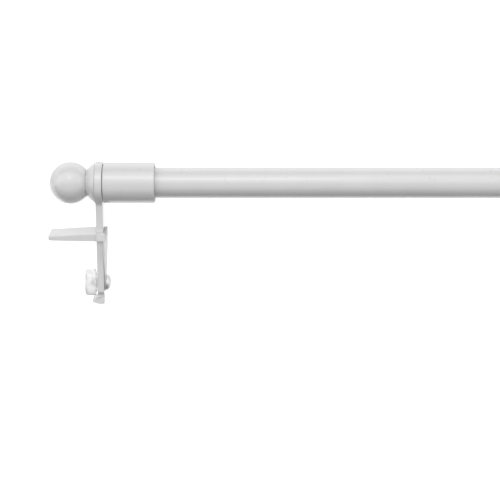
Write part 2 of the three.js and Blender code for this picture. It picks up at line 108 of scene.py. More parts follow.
def tube(start, end, radius):
    """A tube along X with a shallow weld line pressed in along its back."""
    bore = radius - TUBE_WALL
    mesh = turned([(start, bore, CUT_EDGE), (start, radius, CUT_EDGE),
                   (end, radius, CUT_EDGE), (end, bore, CUT_EDGE)])
    for vert in mesh.verts:
        outside = math.hypot(vert.co.y, vert.co.z) > bore + TUBE_WALL / 2
        if outside and vert.co.y > 0 and abs(vert.co.z) < WELD_HALF_WIDTH:
            vert.co.y -= WELD_DEPTH
    return mesh


def add_piece(name, mesh, place, body, stands_for, material):
    """Makes a bmesh into an object that rides on a CAD body and stands for a CAD node."""
    mesh.transform(place)
    data = bpy.data.meshes.new(name)
    mesh.to_mesh(data)
    mesh.free()
    data.materials.append(material)
    for polygon in data.polygons:
        polygon.use_smooth = True
    data.set_sharp_from_angle(angle=SHARP_ANGLE)
    piece = bpy.data.objects.new(name, data)
    bpy.context.scene.collection.objects.link(piece)
    even = piece.modifiers.new("even_normals", "WEIGHTED_NORMAL")
    even.keep_sharp = True
    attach(piece, body)
    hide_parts(stands_for)
    return piece


def new_material(name):
    """A material with a Principled shader, and its object coordinates."""
    material = bpy.data.materials.new(name)
    material.use_nodes = True
    nodes, links = material.node_tree.nodes, material.node_tree.links
    shader = nodes["Principled BSDF"]
    place = nodes.new("ShaderNodeTexCoord").outputs["Object"]
    return material, nodes, links, shader, place


def noise(nodes, links, place, scale, detail=2.0):
    """A noise pattern in object space, from its number of features in a metre."""
    pattern = nodes.new("ShaderNodeTexNoise")
    pattern.inputs["Scale"].default_value = scale
    pattern.inputs["Detail"].default_value = detail
    links.new(place, pattern.inputs["Vector"])
    return pattern.outputs["Fac"]


def spread(nodes, links, value, low, high):
    """Maps the middle range of a noise pattern on to a small range."""
    mapped = nodes.new("ShaderNodeMapRange")
    mapped.inputs["From Min"].default_value = NOISE_LOW
    mapped.inputs["From Max"].default_value = NOISE_HIGH
    mapped.inputs["To Min"].default_value = low
    mapped.inputs["To Max"].default_value = high
    links.new(value, mapped.inputs["Value"])
    return mapped.outputs["Result"]


def grey(nodes, links, value, low, high):
    """Colours a pattern between two greys."""
    ramp = nodes.new("ShaderNodeValToRGB")
    ramp.color_ramp.elements[0].position = NOISE_LOW
    ramp.color_ramp.elements[1].position = NOISE_HIGH
    ramp.color_ramp.elements[0].color = (*low, 1)
    ramp.color_ramp.elements[1].color = (*high, 1)
    links.new(value, ramp.inputs["Fac"])
    return ramp.outputs["Color"]


def relief(nodes, links, value, height, shader):
    """Raises a pattern by a real height in metres."""
    bump = nodes.new("ShaderNodeBump")
    bump.inputs["Distance"].default_value = height
    bump.inputs["Strength"].default_value = 1.0
    links.new(value, bump.inputs["Height"])
    links.new(bump.outputs["Normal"], shader.inputs["Normal"])


def powder_coat():
    """Semi-gloss white polyester powder: very fine orange peel, slightly uneven gloss."""
    material, nodes, links, shader, place = new_material("white_powder_coat")
    low = (PAINT_TONE - PAINT_TONE_SPREAD,) * 3
    high = (PAINT_TONE + PAINT_TONE_SPREAD,) * 3
    links.new(grey(nodes, links, noise(nodes, links, place, 60), low, high),
              shader.inputs["Base Color"])
    gloss = noise(nodes, links, place, 240, 3.0)
    links.new(spread(nodes, links, gloss, 0.27, 0.34), shader.inputs["Roughness"])
    shader.inputs["IOR"].default_value = 1.5
    shader.inputs["Coat Weight"].default_value = 1.0
    shader.inputs["Coat Roughness"].default_value = 0.12
    relief(nodes, links, noise(nodes, links, place, 1300, 1.0), 0.004 * mm, shader)
    return material


white_paint = powder_coat()
along_rod = Matrix.Translation((0, 0, rod_height))
add_piece("painted_outer_tube", tube(tube_low.x, tube_high.x, outer_radius), along_rod,
          "rod", "outer_tube", white_paint)

# ---- Mouth ring ----------------------------------------------------------------------
# A light grey plastic ring pushed into the open end of the outer tube. Its flange covers
# the cut edge and its liner guides the inner tube without scratching it.

RING_LIP = 0.35 * mm
RING_EDGE = 0.12 * mm
PUSH_GAP = 0.05 * mm
RUN_GAP = 0.15 * mm
SEAT_GAP = 0.1 * mm

ring_low, ring_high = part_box("mouth_ring")
inner_low, inner_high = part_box("inner_tube")
inner_radius = (inner_high.z - inner_low.z) / 2


def moulded_plastic(name, tone, tint=0.0):
    """Satin polyamide off a lightly eroded mould."""
    material, nodes, links, shader, place = new_material(name)
    low = (tone - 0.015, tone - 0.015, tone - 0.015 - tint)
    high = (tone + 0.01, tone + 0.01, tone + 0.01 - tint)
    links.new(grey(nodes, links, noise(nodes, links, place, 120), low, high),
              shader.inputs["Base Color"])
    links.new(spread(nodes, links, noise(nodes, links, place, 500), 0.42, 0.52),
              shader.inputs["Roughness"])
    relief(nodes, links, noise(nodes, links, place, 2600, 3.0), 0.006 * mm, shader)
    return material


insert_plastic = moulded_plastic("grey_insert_plastic", 0.55, 0.01)
liner_radius = outer_radius - TUBE_WALL - PUSH_GAP
guide_bore = inner_radius + RUN_GAP
flange_start = tube_high.x + SEAT_GAP
ring_outline = [
    (ring_low.x, guide_bore, 0), (ring_low.x, liner_radius, SMALL_EDGE),
    (flange_start, liner_radius, 0), (flange_start, outer_radius, RING_EDGE),
    (ring_high.x, outer_radius, RING_LIP), (ring_high.x, guide_bore, RING_LIP),
]
add_piece("moulded_mouth_ring", turned(ring_outline), along_rod,
          "rod", "mouth_ring", insert_plastic)

# ---- Inner tube and its bushes -------------------------------------------------------
# The 13 mm tube that slides inside, rolled and coated like the outer one. A plastic bush
# on its hidden end runs in the outer tube, and another fills the right sleeve round it.

BUSH_HEAD = 4 * mm
BUSH_BORE = 3.5 * mm
BUSH_ENTRY_EDGE = 0.5 * mm
BUSH_BACK_EDGE = 0.3 * mm
BUSH_TAIL_EDGE = 0.4 * mm
REDUCER_EDGE = 0.25 * mm

add_piece("painted_inner_tube", tube(inner_low.x, inner_high.x, inner_radius), along_rod,
          "rod_extension", "inner_tube", white_paint)

bush_low, bush_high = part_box("slide_bush")
bush_radius = (bush_high.z - bush_low.z) / 2
shank_radius = inner_radius - TUBE_WALL - PUSH_GAP
bush_outline = [
    (bush_low.x, BUSH_BORE, SMALL_EDGE), (bush_low.x, bush_radius, BUSH_ENTRY_EDGE),
    (bush_low.x + BUSH_HEAD, bush_radius, BUSH_BACK_EDGE),
    (bush_low.x + BUSH_HEAD, shank_radius, 0),
    (bush_high.x, shank_radius, BUSH_TAIL_EDGE), (bush_high.x, BUSH_BORE, SMALL_EDGE),
]
add_piece("moulded_slide_bush", turned(bush_outline), along_rod,
          "rod_extension", "slide_bush", insert_plastic)

reducer_low, reducer_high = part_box("reducer_bush")
reducer_bore = inner_radius + PUSH_GAP
reducer_outline = [
    (reducer_low.x, reducer_bore, REDUCER_EDGE), (reducer_low.x, outer_radius, REDUCER_EDGE),
    (reducer_high.x, outer_radius, CUT_EDGE), (reducer_high.x, reducer_bore, CUT_EDGE),
]
add_piece("moulded_reducer_bush", turned(reducer_outline), along_rod,
          "rod_extension", "reducer_bush", insert_plastic)

# ---- End sleeves ---------------------------------------------------------------------
# A turned steel cap on each end of the rod, powder coated. Its open mouth is bored out
# wider than the tube, and a short neck keeps it off the bracket's eye.

STRIP_THICKNESS = 3.8 * mm
SLEEVE_WALL = 2.6 * mm
LIP_WALL = 0.9 * mm
MOUTH_DEPTH = 3.5 * mm
NECK_INSET = 0.7 * mm
NECK_LENGTH = 0.3 * mm
END_WALL = 3.2 * mm
STUD_HOLE = 2.65 * mm
LIP_INNER_EDGE = 0.25 * mm
SLEEVE_EDGE = 0.3 * mm

eye_face = STRIP_THICKNESS / 2
left_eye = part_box("left_bracket_strip")[1].x - eye_face
right_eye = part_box("right_bracket_strip")[0].x + eye_face

# An end frame has its X axis on the rod's axis, pointing out of the rod's end, and its
# origin in the middle of the bracket's eye. The left end is the right end turned round.
end_frames = {
    "left": Matrix.Translation((left_eye, 0, rod_height)) @ Matrix.Rotation(math.pi, 4, "Z"),
    "right": Matrix.Translation((right_eye, 0, rod_height)),
}
rod_bodies = {"left": "rod", "right": "rod_extension"}

sleeve_low, sleeve_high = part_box("right_sleeve")
mouth = sleeve_low.x - right_eye
neck_face = sleeve_high.x - right_eye
shoulder = neck_face - NECK_LENGTH
floor_face = shoulder - END_WALL
sleeve_bore = outer_radius + PUSH_GAP
sleeve_radius = sleeve_bore + SLEEVE_WALL
sleeve_outline = [
    (mouth, sleeve_radius - LIP_WALL, LIP_INNER_EDGE), (mouth, sleeve_radius, SLEEVE_EDGE),
    (shoulder, sleeve_radius, SLEEVE_EDGE), (shoulder, sleeve_radius - NECK_INSET, FINE_EDGE),
    (neck_face, sleeve_radius - NECK_INSET, CUT_EDGE), (neck_face, STUD_HOLE, CUT_EDGE),
    (floor_face, STUD_HOLE, 0), (floor_face, sleeve_bore, SMALL_EDGE),
    (mouth + MOUTH_DEPTH, sleeve_bore, FINE_EDGE),
    (mouth + MOUTH_DEPTH, sleeve_radius - LIP_WALL, FINE_EDGE),
]
for side, place in end_frames.items():
    add_piece(f"painted_{side}_sleeve", turned(sleeve_outline), place,
              rod_bodies[side], f"{side}_sleeve", white_paint)

# ---- End plugs and their nuts --------------------------------------------------------
# A plastic plug closes each end of the rod inside its sleeve, and holds the zinc-plated
# nut that the finial's stud screws into. They stay as they are in the CAD model.


def zinc_plate(name, roughness):
    """Bright zinc on small turned steel parts."""
    material, nodes, links, shader, place = new_material(name)
    shader.inputs["Metallic"].default_value = 1.0
    tone = grey(nodes, links, noise(nodes, links, place, 700, 3.0),
                (0.72, 0.73, 0.74), (0.80, 0.80, 0.81))
    links.new(tone, shader.inputs["Base Color"])
    links.new(spread(nodes, links, noise(nodes, links, place, 1800, 2.0),
                     roughness, roughness + 0.1), shader.inputs["Roughness"])
    relief(nodes, links, noise(nodes, links, place, 4200, 1.0), 0.003 * mm, shader)
    return material


bright_zinc = zinc_plate("bright_zinc", 0.46)
for side in end_frames:
    for node, finish in (("end_plug", insert_plastic), ("plug_nut", bright_zinc)):
        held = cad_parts[f"{side}_{node}"]
        held.material_slots[0].material = finish

# ---- Bracket strips ------------------------------------------------------------------
# One piece of 3.8 mm steel at each end, stamped with a round eye for the stud, a slot for
# the clamp screw and a pointed hook at its foot. Its edges are tumbled, then coated.

STRIP_HALF_WIDTH = 6 * mm
STRIP_TAPER = 0.4 * mm
EYE_FILLET = 4 * mm
NECK_HALF_WIDTH = 3.5 * mm
NECK_HEIGHT = 1.6 * mm
HOOK_HALF_WIDTH = 5 * mm
HOOK_HEIGHT = 3.4 * mm
HOOK_TIP_HEIGHT = 0.7 * mm
HOOK_TIP_SHARE = 0.45
SLOT_HALF_WIDTH = 2.15 * mm
JAW_TRAVEL = 10 * mm
STRIP_EDGE = 0.8 * mm
HOOK_EDGE = 0.28 * mm
HOLE_EDGE = 0.2 * mm

strip_low, strip_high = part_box("right_bracket_strip")
pad_low, pad_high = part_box("right_buffer_pad")
eye_radius = (strip_high.y - strip_low.y) / 2
hook_bottom = strip_low.z - rod_height
hook_top = hook_bottom + HOOK_HEIGHT
hook_reach = strip_high.x - right_eye - eye_face
strip_end = hook_top + NECK_HEIGHT
clamp_axis = (pad_low.z + pad_high.z) / 2 - rod_height


def arc(centre_y, centre_z, radius, start, end, steps):
    """Points of an arc in the YZ plane, from one angle to another in degrees."""
    points = []
    for i in range(steps + 1):
        angle = math.radians(start + (end - start) * i / steps)
        points.append((centre_y + radius * math.cos(angle), centre_z + radius * math.sin(angle)))
    return points


def plate(outline, back, front):
    """A flat plate between two X values, from an outline in the YZ plane."""
    mesh = bmesh.new()
    face = mesh.faces.new([mesh.verts.new((back, y, z)) for y, z in outline])
    grown = bmesh.ops.extrude_face_region(mesh, geom=[face])
    moved = [item for item in grown["geom"] if isinstance(item, bmesh.types.BMVert)]
    bmesh.ops.translate(mesh, verts=moved, vec=(front - back, 0, 0))
    bmesh.ops.recalc_face_normals(mesh, faces=mesh.faces)
    return mesh


def split(mesh, point, normal):
    """Cuts a line of edges round a mesh where a plane crosses it."""
    bmesh.ops.bisect_plane(mesh, geom=mesh.verts[:] + mesh.edges[:] + mesh.faces[:],
                           plane_co=point, plane_no=normal)


def soften(mesh, width, wanted, segments=EDGE_SEGMENTS, clamp=True):
    """Rounds the wanted edges that turn by more than 30 degrees."""
    sharp = [edge for edge in mesh.edges
             if edge.calc_face_angle(0) > math.radians(30) and wanted(edge)]
    bmesh.ops.bevel(mesh, geom=sharp, offset=width, affect="EDGES", segments=segments,
                    profile=0.5, clamp_overlap=clamp, material=-1)


def combine(first, second, operation):
    """Joins two closed meshes, or cuts the second out of the first."""
    stocks = []
    for mesh in (first, second):
        data = bpy.data.meshes.new("stock")
        mesh.to_mesh(data)
        mesh.free()
        stocks.append(bpy.data.objects.new("stock", data))
        bpy.context.scene.collection.objects.link(stocks[-1])
    tool = stocks[0].modifiers.new("tool", "BOOLEAN")
    tool.operation = operation
    tool.solver = "EXACT"
    tool.object = stocks[1]
    result = bmesh.new()
    result.from_object(stocks[0], bpy.context.evaluated_depsgraph_get())
    for stock in stocks:
        bpy.data.meshes.remove(stock.data)
    bmesh.ops.remove_doubles(result, verts=result.verts, dist=MERGE_DISTANCE)
    return result


def strip_outline():
    """The strip's front outline: eye, filleted flanks, round end, neck and the hook's foot."""
    fillet_y = STRIP_HALF_WIDTH + EYE_FILLET
    fillet_z = -math.sqrt((eye_radius + EYE_FILLET) ** 2 - fillet_y ** 2)
    meeting = math.degrees(math.atan2(fillet_z, fillet_y))
    end_radius = STRIP_HALF_WIDTH - NECK_HALF_WIDTH
    corner_z = strip_end + end_radius
    flank = arc(fillet_y, fillet_z, EYE_FILLET, 180, 180 + meeting, 8)
    eye = arc(0, 0, eye_radius, meeting, 180 - meeting, 80)[1:-1]
    return flank + eye + [(-y, z) for y, z in reversed(flank)] + [
        *arc(-NECK_HALF_WIDTH, corner_z, end_radius, 180, 270, 8),
        (-NECK_HALF_WIDTH, hook_top), (-HOOK_HALF_WIDTH, hook_top),
        (-HOOK_HALF_WIDTH, hook_bottom), (HOOK_HALF_WIDTH, hook_bottom),
        (HOOK_HALF_WIDTH, hook_top), (NECK_HALF_WIDTH, hook_top),
        *arc(NECK_HALF_WIDTH, corner_z, end_radius, 270, 360, 8),
    ]


def bracket_strip():
    """The stamped strip, tapered on its inner face, with its nose drawn out and its holes cut."""
    mesh = plate(strip_outline(), -eye_face, eye_face)
    for level in (hook_top, strip_end, 0):
        split(mesh, (0, 0, level), (0, 0, 1))
    toe = [face for face in mesh.faces
           if face.normal.x > 0.9 and face.calc_center_median().z < hook_top]
    nose = bmesh.ops.extrude_face_region(mesh, geom=toe)
    tip_z = hook_bottom + HOOK_HEIGHT * HOOK_TIP_SHARE
    for vert in (item for item in nose["geom"] if isinstance(item, bmesh.types.BMVert)):
        vert.co.x += hook_reach
        vert.co.z = tip_z + math.copysign(HOOK_TIP_HEIGHT / 2, vert.co.z - tip_z)
    for vert in mesh.verts:
        if vert.co.x < 0:
            vert.co.x += STRIP_TAPER * min(1, max(0, vert.co.z / strip_end))
    bmesh.ops.recalc_face_normals(mesh, faces=mesh.faces)
    soften(mesh, STRIP_EDGE, lambda edge: all(vert.co.z > strip_end - TOLERANCE
                                              for vert in edge.verts))
    soften(mesh, HOOK_EDGE, lambda edge: edge.is_convex and all(
        vert.co.z < hook_top + TOLERANCE for vert in edge.verts), clamp=False)
    hole = plate(arc(0, 0, STUD_HOLE, 0, 352.5, 47), -2 * eye_face, 2 * eye_face)
    slot = plate(arc(0, clamp_axis + JAW_TRAVEL, SLOT_HALF_WIDTH, 0, 180, 12)
                 + arc(0, clamp_axis, SLOT_HALF_WIDTH, 180, 360, 12),
                 -2 * eye_face, 2 * eye_face)
    cut = combine(combine(mesh, hole, "DIFFERENCE"), slot, "DIFFERENCE")
    soften(cut, HOLE_EDGE, lambda edge: all(abs(vert.co.y) < 1.1 * STUD_HOLE
                                            and vert.co.z > strip_end for vert in edge.verts)
           and abs(edge.verts[0].co.x - edge.verts[1].co.x) < 0.5 * mm, 2)
    return cut


for side, place in end_frames.items():
    add_piece(f"stamped_{side}_strip", bracket_strip(), place,
              f"{side}_bracket", f"{side}_bracket_strip", white_paint)

# ---- Jaws ----------------------------------------------------------------------------
# The arm that comes down on the sash, moulded in natural white nylon in one piece with a
# collar that slides on the strip and a thin tongue that the clamp screw holds.

JAW_HEIGHT = 4.2 * mm
ARM_TIP_HEIGHT = 2.3 * mm
ARM_TIP_FALL = 1.4 * mm
ARM_TIP_CORNER = 1 * mm
ARM_STEP = 0.15 * mm
ARM_DRAFT = 0.3 * mm
COLLAR_HALF_WIDTH = 7.75 * mm
TONGUE_THICKNESS = 1.1 * mm
TONGUE_END_THICKNESS = 0.5 * mm
TONGUE_OVERHANG = 0.45 * mm
TONGUE_SHOULDER = 10.5 * mm
TONGUE_END_RADIUS = 4.5 * mm
JAW_EDGE = 0.4 * mm
TONGUE_EDGE = 0.2 * mm

jaw_low, jaw_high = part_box("right_jaw")
arm_tip = jaw_high.x - right_eye
jaw_back = jaw_low.x - right_eye
jaw_top = jaw_high.z - rod_height


def natural_nylon():
    """Milky white nylon that lets a little light through, with a satin skin."""
    material, nodes, links, shader, place = new_material("natural_nylon")
    links.new(grey(nodes, links, noise(nodes, links, place, 150),
                   (0.74, 0.74, 0.74), (0.77, 0.77, 0.77)), shader.inputs["Base Color"])
    links.new(spread(nodes, links, noise(nodes, links, place, 600), 0.36, 0.46),
              shader.inputs["Roughness"])
    shader.inputs["Subsurface Weight"].default_value = 0.5
    shader.inputs["Subsurface Radius"].default_value = (1.0, 1.0, 1.0)
    shader.inputs["Subsurface Scale"].default_value = 1.0 * mm
    relief(nodes, links, noise(nodes, links, place, 2400, 2.0), 0.005 * mm, shader)
    return material


def jaw_arm():
    """The collar's block and the tapering arm, drawn out from it by its end face."""
    mesh = bmesh.new()
    bmesh.ops.create_cube(mesh, size=1)
    for vert in mesh.verts:
        vert.co.y = math.copysign(COLLAR_HALF_WIDTH, vert.co.y)
        vert.co.z = jaw_top - (0 if vert.co.z > 0 else JAW_HEIGHT)
        vert.co.x = jaw_back if vert.co.x < 0 else eye_face
    face = [face for face in mesh.faces if face.normal.x > 0.9]
    arm = bmesh.ops.extrude_face_region(mesh, geom=face)
    for vert in (item for item in arm["geom"] if isinstance(item, bmesh.types.BMVert)):
        upper = vert.co.z > jaw_top - JAW_HEIGHT / 2
        vert.co.x = arm_tip
        vert.co.z = jaw_top - ARM_TIP_FALL - (0 if upper else ARM_TIP_HEIGHT)
    bmesh.ops.recalc_face_normals(mesh, faces=mesh.faces)
    step = eye_face + 2 * RUN_GAP
    for level in (step, step + 2 * ARM_STEP):
        split(mesh, (level, 0, 0), (1, 0, 0))
    for vert in mesh.verts:
        if vert.co.x > step + ARM_STEP:
            lower = vert.co.z < jaw_top - JAW_HEIGHT / 2 or (
                vert.co.x > arm_tip - mm and vert.co.z < jaw_top - ARM_TIP_FALL - mm)
            vert.co.y -= math.copysign(ARM_STEP + (ARM_DRAFT if lower else 0), vert.co.y)
    tip = [edge for edge in mesh.edges
           if all(vert.co.x > arm_tip - TOLERANCE for vert in edge.verts)
           and abs(edge.verts[0].co.z - edge.verts[1].co.z) > mm]
    bmesh.ops.bevel(mesh, geom=tip, offset=ARM_TIP_CORNER, affect="EDGES", segments=8,
                    profile=0.5, material=-1)
    soften(mesh, JAW_EDGE, lambda edge: True)
    return mesh


def jaw_tongue():
    """The flat tongue along the strip's inner face, leaning with the strip's taper."""
    half = COLLAR_HALF_WIDTH + TONGUE_OVERHANG
    shoulder = jaw_top - TONGUE_SHOULDER
    mesh = plate([
        (half, jaw_top), (-half, jaw_top), (-half, shoulder),
        (-TONGUE_END_RADIUS, clamp_axis + TONGUE_END_RADIUS),
        *arc(0, clamp_axis, TONGUE_END_RADIUS, 180, 360, 24),
        (TONGUE_END_RADIUS, clamp_axis + TONGUE_END_RADIUS), (half, shoulder),
    ], -TONGUE_THICKNESS, 0)
    for vert in mesh.verts:
        share = (vert.co.z - jaw_top) / (clamp_axis - jaw_top)
        thickness = TONGUE_THICKNESS + (TONGUE_END_THICKNESS - TONGUE_THICKNESS) * share
        vert.co.x *= thickness / TONGUE_THICKNESS
        vert.co.x += -eye_face - RUN_GAP + STRIP_TAPER * vert.co.z / strip_end
    soften(mesh, TONGUE_EDGE, lambda edge: True)
    return mesh


def jaw():
    """Arm and tongue in one, with the strip's passage and the screw's hole cut through."""
    passage_end = eye_face + RUN_GAP
    passage_back = -eye_face - RUN_GAP + STRIP_TAPER * jaw_top / strip_end
    passage = bmesh.new()
    bmesh.ops.create_cube(passage, size=1)
    for vert in passage.verts:
        vert.co.x = passage_back if vert.co.x < 0 else passage_end
        vert.co.y = math.copysign(STRIP_HALF_WIDTH + RUN_GAP, vert.co.y)
        vert.co.z = jaw_top + (mm if vert.co.z > 0 else -JAW_HEIGHT - mm)
    hole = plate(arc(0, clamp_axis, SLOT_HALF_WIDTH, 0, 345, 23), -4 * eye_face, 0)
    body = combine(combine(jaw_arm(), passage, "DIFFERENCE"), jaw_tongue(), "UNION")
    return combine(body, hole, "DIFFERENCE")


white_nylon = natural_nylon()
for side, place in end_frames.items():
    add_piece(f"moulded_{side}_jaw", jaw(), place,
              f"{side}_jaw", f"{side}_jaw", white_nylon)

# ---- Clamp screws --------------------------------------------------------------------
# A zinc-plated M4 machine screw with a domed head and a cross recess. It passes through
# the tongue and the strip's slot, and its thread runs in the buffer pad.

SCREW_RADIUS = 2 * mm
SCREW_HEAD_HEIGHT = 2.3 * mm
SCREW_PITCH = 0.7 * mm
THREAD_DEPTH_SHARE = 0.6
RECESS_SPAN = 4.6 * mm
RECESS_WIDTH = 0.9 * mm
RECESS_DEPTH = 1.2 * mm
RECESS_TAPER = 0.55
HEAD_RIM = 0.25 * mm
DOME_POWER = 0.8                  # below 1, a dome is fuller at its rim than a half round

screw_low, screw_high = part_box("right_clamp_screw")
head_radius = (screw_high.z - screw_low.z) / 2
crown = screw_low.x - right_eye
screw_tip = screw_high.x - right_eye


def thread(start, end, radius, pitch, steps=24):
    """A ridge wound round the X axis, closed at both ends, for the thread of a screw."""
    root = radius - THREAD_DEPTH_SHARE * pitch - 0.05 * mm
    mesh = bmesh.new()
    section = [(0.06, radius), (0.44, root), (-0.44, root), (-0.06, radius)]
    corners = [mesh.verts.new((start + pitch / 2 + share * pitch, 0, height))
               for share, height in section]
    edges = [mesh.edges.new((corners[i - 1], corners[i])) for i in range(4)]
    turns = int((end - start) / pitch - 1)
    bmesh.ops.spin(mesh, geom=corners + edges, cent=(0, 0, 0), axis=(1, 0, 0),
                   dvec=(pitch / steps, 0, 0), angle=math.tau * turns, steps=steps * turns)
    bmesh.ops.holes_fill(mesh, edges=mesh.edges, sides=0)
    bmesh.ops.recalc_face_normals(mesh, faces=mesh.faces)
    return mesh


def joined(*meshes):
    """Puts several closed bodies of one piece into one mesh."""
    whole = bmesh.new()
    for mesh in meshes:
        data = bpy.data.meshes.new("part")
        mesh.to_mesh(data)
        mesh.free()
        whole.from_mesh(data)
        bpy.data.meshes.remove(data)
    return whole


def clamp_screw():
    """Head with its recess, core and thread, on the screw's own axis."""
    seat = crown + SCREW_HEAD_HEIGHT
    core = SCREW_RADIUS - THREAD_DEPTH_SHARE * SCREW_PITCH
    dome = [(crown + SCREW_HEAD_HEIGHT * (1 - math.cos(angle)),
             head_radius * math.sin(angle) ** DOME_POWER, 0)
            for angle in (math.radians(8 * i) for i in range(11))]
    body = turned([*dome, (seat - HEAD_RIM, head_radius, 0), (seat, head_radius, CUT_EDGE),
                   (seat, core, 0), (screw_tip, core, 0.5 * mm), (screw_tip, 0, 0)], 64)
    for turn in (0, math.pi / 2):
        blade = bmesh.new()
        bmesh.ops.create_cube(blade, size=1)
        for vert in blade.verts:
            deep = vert.co.x > 0
            vert.co.x = crown + (RECESS_DEPTH if deep else -mm)
            vert.co.y = math.copysign(RECESS_SPAN / 2 * (RECESS_TAPER if deep else 1), vert.co.y)
            vert.co.z = math.copysign(RECESS_WIDTH / 2, vert.co.z)
        blade.transform(Matrix.Rotation(turn + math.pi / 4, 4, "X"))
        body = combine(body, blade, "DIFFERENCE")
    return joined(body, thread(seat + 0.8 * mm, screw_tip, SCREW_RADIUS, SCREW_PITCH))


for side, place in end_frames.items():
    add_piece(f"turned_{side}_clamp_screw", clamp_screw(),
              place @ Matrix.Translation((0, 0, clamp_axis)),
              f"{side}_clamp_screw", f"{side}_clamp_screw", bright_zinc)

# ---- Buffer pads ---------------------------------------------------------------------
# A puck of frosted clear silicone on the end of each screw, which bears on the window's
# frame without marking it. Its face is slightly dished, and a boss keeps it off the strip.

PAD_EDGE = 0.8 * mm
BOSS_RADIUS = 4.5 * mm
BOSS_LENGTH = 1 * mm
BOSS_EDGE = 0.25 * mm
SOCKET_MARGIN = 0.5 * mm
DISH_DEPTH = 0.15 * mm
DISH_RIM = 1.6 * mm
DISH_SLOPE = 0.3 * mm

pad_start = pad_low.x - right_eye
pad_end = pad_high.x - right_eye
pad_radius = (pad_high.z - pad_low.z) / 2


def clear_silicone():
    """Frosted clear silicone: faintly milky, soft skin."""
    material, nodes, links, shader, place = new_material("frosted_silicone")
    links.new(grey(nodes, links, noise(nodes, links, place, 200),
                   (0.975, 0.975, 0.975), (0.99, 0.99, 0.99)), shader.inputs["Base Color"])
    links.new(spread(nodes, links, noise(nodes, links, place, 900), 0.40, 0.48),
              shader.inputs["Roughness"])
    shader.inputs["IOR"].default_value = 1.15
    shader.inputs["Transmission Weight"].default_value = 0.6
    shader.inputs["Subsurface Weight"].default_value = 1.0
    shader.inputs["Subsurface Radius"].default_value = (1.0, 1.0, 1.0)
    shader.inputs["Subsurface Scale"].default_value = 5.0 * mm
    relief(nodes, links, noise(nodes, links, place, 700, 1.0), 0.004 * mm, shader)
    return material


frosted_silicone = clear_silicone()
socket_radius = SCREW_RADIUS + RUN_GAP
pad_outline = [
    (screw_tip + SOCKET_MARGIN, 0, 0), (screw_tip + SOCKET_MARGIN, socket_radius, SMALL_EDGE),
    (pad_start, socket_radius, SMALL_EDGE), (pad_start, BOSS_RADIUS, BOSS_EDGE),
    (pad_start + BOSS_LENGTH, BOSS_RADIUS, 0), (pad_start + BOSS_LENGTH, pad_radius, PAD_EDGE),
    (pad_end, pad_radius, PAD_EDGE), (pad_end, pad_radius - DISH_RIM, FINE_EDGE),
    (pad_end - DISH_DEPTH, pad_radius - DISH_RIM - DISH_SLOPE, FINE_EDGE),
    (pad_end - DISH_DEPTH, 0, 0),
]
for side, place in end_frames.items():
    add_piece(f"moulded_{side}_buffer_pad", turned(pad_outline),
              place @ Matrix.Translation((0, 0, clamp_axis)),
              f"{side}_buffer_pad", f"{side}_buffer_pad", frosted_silicone)

# ---- Finial studs and lock washers ---------------------------------------------------
# An M5 stud screwed and glued into each finial runs through the bracket's eye into the nut
# in the rod. A split spring washer lies in the collar's recess and grips the eye.

STUD_PITCH = 0.8 * mm
WASHER_GAP = math.radians(7)
WASHER_EDGE = 0.12 * mm
STUD_CHAMFER = 0.35 * mm

stud_low, stud_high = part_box("right_finial_stud")
washer_low, washer_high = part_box("right_lock_washer")
stud_radius = (stud_high.z - stud_low.z) / 2
stud_start = stud_low.x - right_eye
stud_end = stud_high.x - right_eye
washer_face = washer_low.x - right_eye
washer_back = washer_high.x - right_eye
washer_radius = (washer_high.z - washer_low.z) / 2


def finial_stud():
    """Threaded from end to end, with a chamfer on each end of its core."""
    core = stud_radius - THREAD_DEPTH_SHARE * STUD_PITCH
    body = turned([(stud_start, 0, 0), (stud_start, core, STUD_CHAMFER),
                   (stud_end, core, STUD_CHAMFER), (stud_end, 0, 0)], 48)
    return joined(body, thread(stud_start, stud_end, stud_radius, STUD_PITCH))


def lock_washer():
    """A ring of square spring steel, split across, with its edges eased."""
    mesh = bmesh.new()
    corners = [mesh.verts.new((x, 0, radius)) for x, radius in (
        (washer_face, STUD_HOLE), (washer_face, washer_radius),
        (washer_back, washer_radius), (washer_back, STUD_HOLE))]
    edges = [mesh.edges.new((corners[i - 1], corners[i])) for i in range(4)]
    bmesh.ops.bevel(mesh, geom=corners, offset=WASHER_EDGE, affect="VERTICES", segments=2,
                    profile=0.5, material=-1)
    bmesh.ops.spin(mesh, geom=mesh.verts[:] + mesh.edges[:], cent=(0, 0, 0), axis=(1, 0, 0),
                   dvec=(0, 0, 0), angle=math.tau - WASHER_GAP, steps=TURN_STEPS - 2)
    bmesh.ops.holes_fill(mesh, edges=mesh.edges, sides=0)
    bmesh.ops.recalc_face_normals(mesh, faces=mesh.faces)
    return mesh


for side, place in end_frames.items():
    add_piece(f"threaded_{side}_stud", finial_stud(), place,
              f"{side}_finial", f"{side}_finial_stud", bright_zinc)
    add_piece(f"split_{side}_washer", lock_washer(), place,
              f"{side}_lock_washer", f"{side}_lock_washer", bright_zinc)

# ---- Finials -------------------------------------------------------------------------
# A turned collar flares down from the eye to a solid ball. Both are steel, threaded on to
# the stud and powder coated together, so that the joint between them is a fine round groove.

COLLAR_LAND = 0.3 * mm
COLLAR_SEAT_LAND = 0.4 * mm
COLLAR_BULGE = 0.35 * mm
FLARE_STEPS = 10
SEAT_RADIUS = 7.2 * mm
BALL_STEPS = 40

collar_low, collar_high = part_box("right_finial_collar")
ball_low, ball_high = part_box("right_finial_ball")
collar_face = collar_low.x - right_eye
collar_end = collar_high.x - right_eye
collar_radius = (collar_high.z - collar_low.z) / 2
ball_seat = ball_low.x - right_eye
ball_radius = (ball_high.z - ball_low.z) / 2
ball_pole = ball_high.x - right_eye
ball_centre = ball_pole - ball_radius


